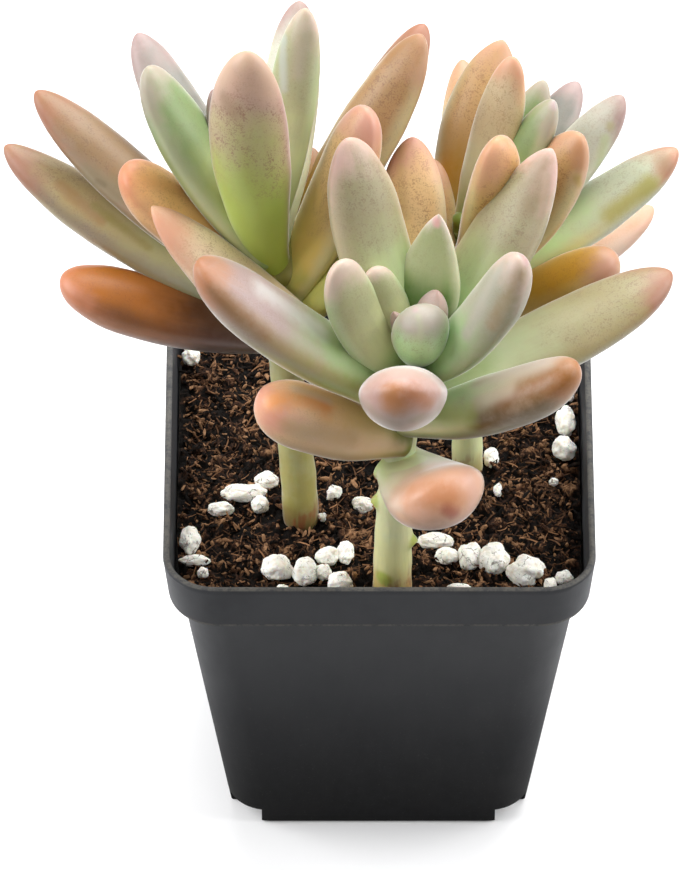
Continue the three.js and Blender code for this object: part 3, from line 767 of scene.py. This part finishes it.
def pot_plastic():
    paint = Paint("pot charcoal plastic", 0.45, specular_ior_level=0.2)
    where = paint.spot()
    film = paint.noise(where, 9, 5, 0.6)
    specks = paint.noise(where, 0.5, 3, 0.6)
    scuffs = paint.noise(paint.spot((1, 1, 0.15)), 1.6, 4)
    height = paint.node("ShaderNodeSeparateXYZ", inputs={0: where}, output=2)
    # Painted shade: the plastic gets darker towards the bottom.
    colour = paint.mix(paint.step(height + film * 14, 5, 80), tone(5, 5, 6), tone(60, 61, 64))
    colour = paint.mix(paint.step(film, 0.45, 0.75) * 0.3, colour, tone(44, 45, 47))
    colour = paint.mix(paint.step(specks, 0.6, 0.78) * 0.2, colour, tone(84, 84, 82))
    # Painted highlights: a pale line along the lower edge of the skirt and another along the top of the
    # lip, broken into patches by the scuff and speck noises.
    seam_height = height - (POT_HEIGHT - BAND)
    seam = paint.step(seam_height, 1.1, 0.75) * paint.step(seam_height, 0.1, 0.45)
    lip = paint.step(height, POT_HEIGHT - 0.35, POT_HEIGHT - 0.02)
    highlight_patches = paint.step(scuffs * 0.6 + specks * 0.4, 0.35, 0.6)
    colour = paint.mix((seam * 0.5 + lip * 0.45) * highlight_patches, colour, tone(118, 114, 104))
    paint.colour(colour)
    dull = paint.step(height, 55, 0) * 0.25
    paint.roughness(0.4 + film * 0.2 + scuffs * 0.08 + dull)
    paint.bump(specks * 0.5 + scuffs * 0.5, 0.2, 0.1)
    return paint.material


def pot_cutters():
    """Blocks that cut the foot ring's corners, to leave a foot on each side, and rods for the
    drain holes, all as one object."""
    cutters = []
    middle = (FOOT_SPAN + CUTTER) / 2
    level = FOOT_HEIGHT - CUTTER / 2 + 0.02
    for sx in (-1, 1):
        for sy in (-1, 1):
            spot = place(sx * middle, sy * middle, level)
            bpy.ops.mesh.primitive_cube_add(size=CUTTER * MM, location=spot)
            cutters.append(bpy.context.object)
    for side in range(4):
        a = side * math.pi / 2
        spot = place(DRAIN_RING * math.cos(a), DRAIN_RING * math.sin(a), FOOT_HEIGHT)
        bpy.ops.mesh.primitive_cylinder_add(
            vertices=32, radius=DRAIN_RADIUS * MM, depth=CUTTER * MM, location=spot)
        cutters.append(bpy.context.object)
    bpy.ops.object.select_all(action="DESELECT")
    for cutter in cutters:
        cutter.select_set(True)
    bpy.context.view_layer.objects.active = cutters[0]
    bpy.ops.object.join()
    return cutters[0]


def make_pot():
    rings = pot_rings()
    half, radius, z = rings[0]
    bpy.ops.object.select_all(action="DESELECT")
    bpy.ops.mesh.primitive_plane_add(size=2 * half * MM, location=place(0, 0, z))
    piece = bpy.context.object
    piece.name = "pot_shell"
    bpy.ops.object.transform_apply(location=True, rotation=True, scale=True)
    bpy.ops.object.mode_set(mode="EDIT")
    bpy.ops.mesh.select_all(action="SELECT")
    bpy.ops.mesh.bevel(offset=radius * MM, offset_type="OFFSET", segments=12, affect="VERTICES")
    bpy.ops.mesh.select_all(action="SELECT")
    for now, wanted in zip(rings, rings[1:]):
        bpy.ops.mesh.extrude_region_move()
        mesh = bmesh.from_edit_mesh(piece.data)
        set_ring(mesh, now, wanted)
        bmesh.update_edit_mesh(piece.data)
    bpy.ops.mesh.select_all(action="SELECT")
    bpy.ops.mesh.normals_make_consistent(inside=False)
    bpy.ops.object.mode_set(mode="OBJECT")

    cutter = pot_cutters()
    openings = piece.modifiers.new("openings", "BOOLEAN")
    openings.operation = "DIFFERENCE"
    openings.object = cutter
    apply_all(piece)
    bpy.data.objects.remove(cutter)
    smooth(piece, 35)
    finish_piece(piece, pot_plastic(), "pot_plastic", "pot")


# ---- peat --------------------------------------------------------------------


def plain_level(x, y):
    """The height of the peat without its clods, at a place in mm."""
    reach = max(abs(x), abs(y)) / PEAT_HALF
    return PEAT_TOP - PEAT_EDGE_DROP * reach ** 4


def peat_level(x, y):
    """The height of the peat's surface, with its clods."""
    z = plain_level(x, y)
    z += 0.8 * noise.noise(Vector((x, y, 0)) / 9)
    warp = Vector((noise.noise(Vector((x, y, 5)) / 2), noise.noise(Vector((x, y, 15)) / 2), 0)) * 1.2
    clod = noise.voronoi((Vector((x, y, 2)) + warp) / 3.4)[0]
    z += 1.6 * (0.42 - clod[0]) + 0.9 * min(clod[1] - clod[0], 0.5) - 0.25
    lump = noise.voronoi((Vector((x, y, 9)) + warp) / 1.35)[0]
    z += 1.1 * (0.4 - lump[0]) + 0.3 * noise.noise(Vector((x, y, 4)) * 1.8)
    return z


def peat_colour():
    paint = Paint("peat", 0.85, specular_ior_level=0.2)
    where = paint.spot()
    clump = paint.noise(where, 3.2, 5, 0.6)
    crumb = paint.noise(where, 0.8, 6, 0.75)
    fleck = paint.noise(paint.spot((1, 0.5, 1)), 0.35, 3, 0.6)
    shade = paint.number("shade")
    # On the peat bed the shade attribute is the height over the plain level, so hollows are painted
    # darker as painted shade and tops lighter as painted light; on crumbs it is a random tone.
    colour = paint.mix(paint.step(crumb + shade * 0.3, 0.36, 0.66), tone(11, 6, 3), tone(84, 54, 36))
    light = paint.step(clump * 0.35 + fleck * 0.4 + crumb * 0.25 + shade * 0.3, 0.52, 0.7)
    colour = paint.mix(light * 0.85, colour, tone(176, 134, 98))
    paint.colour(colour)
    paint.bump(crumb * 0.7 + fleck * 0.3, 1, 0.7)
    return paint.material


def pull_rim(piece, share, height):
    """Draws the selected rim in to a share of its size and puts it at a height in mm."""
    co = points_of(piece.data)
    rim = np.array([v.select for v in piece.data.vertices])
    middle = np.array(MIDDLE)
    co[rim, :2] = middle[:2] + (co[rim, :2] - middle[:2]) * share
    co[rim, 2] = middle[2] + height * MM
    set_points(piece.data, co)


def make_bed():
    """The peat as one closed block: its relief on top, then walls that follow the pot's inside."""
    cells = 230
    bpy.ops.object.select_all(action="DESELECT")
    bpy.ops.mesh.primitive_grid_add(x_subdivisions=cells, y_subdivisions=cells, size=2)
    piece = bpy.context.object
    piece.name = "peat_bed"
    # A square grid is drawn in at its corners to follow the pot's round ones.
    corner_pull = (RIM_CORNER - WALL) / PEAT_HALF * (math.sqrt(2) - 1) / math.sqrt(2)
    placed, shades = [], []
    for x, y, _ in points_of(piece.data):
        big, small = max(abs(x), abs(y)), min(abs(x), abs(y))
        pull = 1 - corner_pull * (small / max(big, 1e-9)) ** 6 * big
        px, py = x * PEAT_HALF * pull, y * PEAT_HALF * pull
        placed.append(place(px, py, peat_level(px, py)))
        # The shade attribute is the height over the plain level, for painted shade in the hollows
        # between clods and painted light on their tops.
        shades.append((placed[-1].z - place(0, 0, plain_level(px, py)).z) / MM - 0.2)
    set_points(piece.data, placed)
    add_number(piece.data, "shade", shades)
    bpy.ops.object.mode_set(mode="EDIT")
    bpy.ops.mesh.select_all(action="SELECT")
    bpy.ops.mesh.region_to_loop()
    ledge, base = BODY_HALF - WALL - 0.5, BASE_HALF - WALL - 0.8
    levels = [(ledge / PEAT_HALF, POT_HEIGHT - BAND - 1), (base / ledge, FOOT_HEIGHT + FLOOR + 0.3)]
    for share, height in levels:
        bpy.ops.mesh.extrude_edges_move()
        bpy.ops.object.mode_set(mode="OBJECT")
        pull_rim(piece, share, height)
        bpy.ops.object.mode_set(mode="EDIT")
    bpy.ops.mesh.edge_face_add()
    bpy.ops.mesh.select_all(action="SELECT")
    bpy.ops.mesh.normals_make_consistent(inside=False)
    bpy.ops.object.mode_set(mode="OBJECT")
    smooth(piece, 60)
    finish_piece(piece, peat_colour(), "peat", "soil")


def free_place(rng, margin):
    """A random place on the peat, margin mm or more from its edge and from the stems."""
    half, round_ = PEAT_HALF, SCATTER_CORNER
    while True:
        x, y = rng.uniform(-half, half), rng.uniform(-half, half)
        corner = math.hypot(max(abs(x) - half + round_, 0), max(abs(y) - half + round_, 0))
        stems = [math.dist((x, y), s["foot"]) - s["radius"] for s in SHOOTS.values()]
        inside = corner < round_ - margin and max(abs(x), abs(y)) < half - margin
        if inside and min(stems) > margin:
            return x, y


def scatter(name, count, shape, faces_of_one, material, shade=lambda k: 0):
    """One piece made of many small bodies, where shape(k) gives the points in mm of one."""
    faces, points, shades = [], [], []
    for k in range(count):
        start = len(points)
        points += [place(*p) for p in shape(k)]
        faces += [[start + i for i in face] for face in faces_of_one]
        shades += [shade(k)] * (len(points) - start)
    mesh = bpy.data.meshes.new(name)
    mesh.from_pydata(points, [], faces)
    mesh.update()
    add_number(mesh, "shade", shades)
    piece = bpy.data.objects.new(name, mesh)
    bpy.context.scene.collection.objects.link(piece)
    finish_piece(piece, material, "peat")
    return piece


def ico(subdivisions):
    """The points and faces of a ball made of triangles, of radius 1."""
    shape = bmesh.new()
    bmesh.ops.create_icosphere(shape, subdivisions=subdivisions, radius=1)
    verts = [v.co.copy() for v in shape.verts]
    faces = [[v.index for v in f.verts] for f in shape.faces]
    shape.free()
    return verts, faces


def make_crumbs():
    rng = random.Random(11)
    verts, faces = ico(1)
    count = 6500
    sizes = [0.35 + 0.9 * rng.random() ** 2 for _ in range(count)]
    shades = [rng.uniform(-0.9, 0.9) for _ in range(count)]

    def crumb(k):
        lumpy = [v * rng.uniform(0.65, 1.25) for v in verts]
        x, y = free_place(rng, 0.6)
        turn = Quaternion([rng.gauss(0, 1) for _ in range(4)]).normalized()
        stretch = Vector((rng.uniform(0.9, 2.2), rng.uniform(0.35, 0.8), rng.uniform(0.35, 0.7)))
        centre = Vector((x, y, peat_level(x, y) + 0.25 * sizes[k]))
        stretched = [Vector(a * b for a, b in zip(v, stretch)) for v in lumpy]
        return [centre + turn @ v * sizes[k] * 0.62 for v in stretched]

    scatter("peat_crumbs", count, crumb, faces, peat_colour(), lambda k: shades[k])


def fibre_colour():
    paint = Paint("peat fibre", 0.85, specular_ior_level=0.2)
    shade = paint.number("shade")
    where = paint.spot()
    streak = paint.noise(where, 1.5, 3)
    colour = paint.mix(shade, tone(48, 29, 19), tone(170, 124, 88))
    colour = paint.mix(paint.step(streak, 0.4, 0.7) * 0.5, colour, tone(38, 24, 16))
    paint.colour(colour)
    return paint.material


def make_fibres():
    rng = random.Random(5)
    count = 2600
    steps, sides = 5, 3
    faces = []
    for s in range(steps):
        for i in range(sides):
            a, b = s * sides + i, s * sides + (i + 1) % sides
            faces.append([a, b, b + sides, a + sides])
    faces += [[2, 1, 0], [steps * sides + i for i in range(sides)]]
    shades = [rng.random() ** 2 for _ in range(count)]

    def fibre(k):
        length = 0.8 + 3.6 * rng.random() ** 2
        x, y = free_place(rng, 1 + length * 0.5)
        turn = rng.uniform(0, 2 * math.pi)
        bend = rng.gauss(0, 0.18)
        thick = rng.uniform(0.05, 0.16)
        tilt = rng.gauss(0, 0.25)
        lift = peat_level(x, y) + 0.3
        points = []
        for s in range(steps + 1):
            share = s / steps - 0.5
            heading = turn + bend * share * 2
            px = x + math.cos(heading) * share * length
            py = y + math.sin(heading) * share * length
            pz = lift + share * length * tilt + 0.05 * math.sin(share * 4 + k)
            for i in range(sides):
                a = 2 * math.pi * i / sides
                across = Vector((-math.sin(heading), math.cos(heading), 0)) * math.cos(a)
                points.append(Vector((px, py, pz)) + (across + Vector((0, 0, math.sin(a)))) * thick)
        return points

    scatter("peat_fibres", count, fibre, faces, fibre_colour(), lambda k: shades[k])


def perlite_colour():
    paint = Paint("perlite", 0.9, subsurface_weight=0.15, subsurface_scale=1 * MM)
    where = paint.spot()
    pits = paint.cells(where, 0.55)
    dirt = paint.noise(where, 1.6, 4, 0.6)
    creases = paint.step(paint.cells(where, 1.5, "DISTANCE_TO_EDGE") + dirt * 0.35, 0.2, 0.14)
    colour = paint.mix(paint.step(dirt, 0.45, 0.85), tone(250, 249, 242), tone(226, 216, 188))
    colour = paint.mix(paint.step(pits + dirt * 0.7, 0.5, 0.36) * 0.85, colour, tone(70, 56, 44))
    colour = paint.mix(creases * 0.75, colour, tone(92, 80, 66))
    paint.colour(colour)
    paint.bump(paint.noise(where, 0.5, 4), 0.6, 0.3)
    return paint.material


def make_perlite():
    rng = random.Random(3)
    verts, faces = ico(5)

    def grain(k):
        x, y, width, depth = GRAINS[k]
        height = 0.8 * min(width, depth) + 0.3
        centre = Vector((x, y, PEAT_TOP - PEAT_EDGE_DROP / 2 + height / 6 + 0.25))
        normals = [Vector([rng.gauss(0, 1) for _ in range(3)]).normalized() for _ in range(9)]
        depths = [rng.uniform(0.66, 1) for _ in normals]
        points = []
        for v in verts:
            gaps = [max(d / max(v.dot(n), 0.01) - 0.6, 0) for n, d in zip(normals, depths)]
            bites = sum(math.exp(-9 * gap) for gap in gaps)
            seat = v * 1.7 + Vector((k * 3.1, 0, 0))
            rough = 0.22 * noise.noise(seat) + 0.06 * noise.noise(seat * 2.6)
            rough += 0.03 * noise.noise(seat * 7)
            pit = min(noise.voronoi(seat * 2.2)[0][0] - 0.22, 0)
            cut = v * (1.06 - 0.3 * bites + rough + 0.5 * pit)
            points.append(centre + Vector((cut.x * width, cut.y * depth, cut.z * height)) / 2)
        return points

    piece = scatter("perlite_grains", len(GRAINS), grain, faces, perlite_colour())
    smooth(piece)


# ---- build -------------------------------------------------------------------

make_pot()
make_bed()
make_crumbs()
make_fibres()
make_perlite()
for shoot_name, rows in LEAVES.items():
    make_stem(shoot_name)
    for number, row in enumerate(rows, 1):
        seed_number = number + 20 * list(LEAVES).index(shoot_name)
        make_leaf(f"leaf_{shoot_name}_{number:02d}", shoot_name, seed_number, *row)


# ---- floor, light and camera -------------------------------------------------

bpy.ops.object.select_all(action="DESELECT")
bpy.ops.mesh.primitive_plane_add(size=8, location=(0, 0, -0.0002))
floor_plane = bpy.context.object
floor_plane.name = "floor"
floor_paint = Paint("floor white", 0.9, emission_color=(1, 1, 1, 1), emission_strength=0.12)
floor_paint.colour(tone(242, 242, 243))
floor_plane.data.materials.append(floor_paint.material)
floor_plane.visible_diffuse = False

# The sky is dim below and bright above.
SKY_FROM, SKY_TO = -0.35, 0.35
SKY_BELOW, SKY_ABOVE = 0.08, 0.45
world = bpy.data.worlds.new("studio")
world.use_nodes = True
nodes, links = world.node_tree.nodes, world.node_tree.links
background = nodes["Background"]
background.inputs["Color"].default_value = (1, 1, 1, 1)
direction = nodes.new("ShaderNodeTexCoord")
steepness = nodes.new("ShaderNodeSeparateXYZ")
brightness = nodes.new("ShaderNodeMapRange")
for socket, value in enumerate((SKY_FROM, SKY_TO, SKY_BELOW, SKY_ABOVE), 1):
    brightness.inputs[socket].default_value = value
links.new(direction.outputs["Generated"], steepness.inputs[0])
links.new(steepness.outputs["Z"], brightness.inputs[0])
links.new(brightness.outputs[0], background.inputs["Strength"])
bpy.context.scene.world = world


def soft_light(name, position, size, power):
    """A square lamp in metres that faces the plant."""
    lamp = bpy.data.lights.new(name, "AREA")
    lamp.size = size
    lamp.energy = power
    holder = bpy.data.objects.new(name, lamp)
    bpy.context.scene.collection.objects.link(holder)
    aim = Vector((0, 0, 0.1)) - Vector(position)
    holder.rotation_euler = aim.to_track_quat("-Z", "Y").to_euler()
    holder.location = position


soft_light("left light", (-1.1, 0.0, 0.75), 1.0, 18)
soft_light("right light", (1.1, 0.1, 0.75), 1.0, 15)
soft_light("back light", (0.2, 0.8, 1.2), 1.2, 23)

camera_data = bpy.data.cameras.new("camera")
camera_data.lens = 420
camera_data.sensor_width = 36
camera_data.clip_end = 20
camera = bpy.data.objects.new("camera", camera_data)
camera.location = place(-7.0, -1295.0, 1321.8)
camera.rotation_euler = (math.radians(46), 0, 0)
bpy.context.scene.collection.objects.link(camera)
bpy.context.scene.camera = camera
bpy.context.scene.view_settings.view_transform = "Standard"
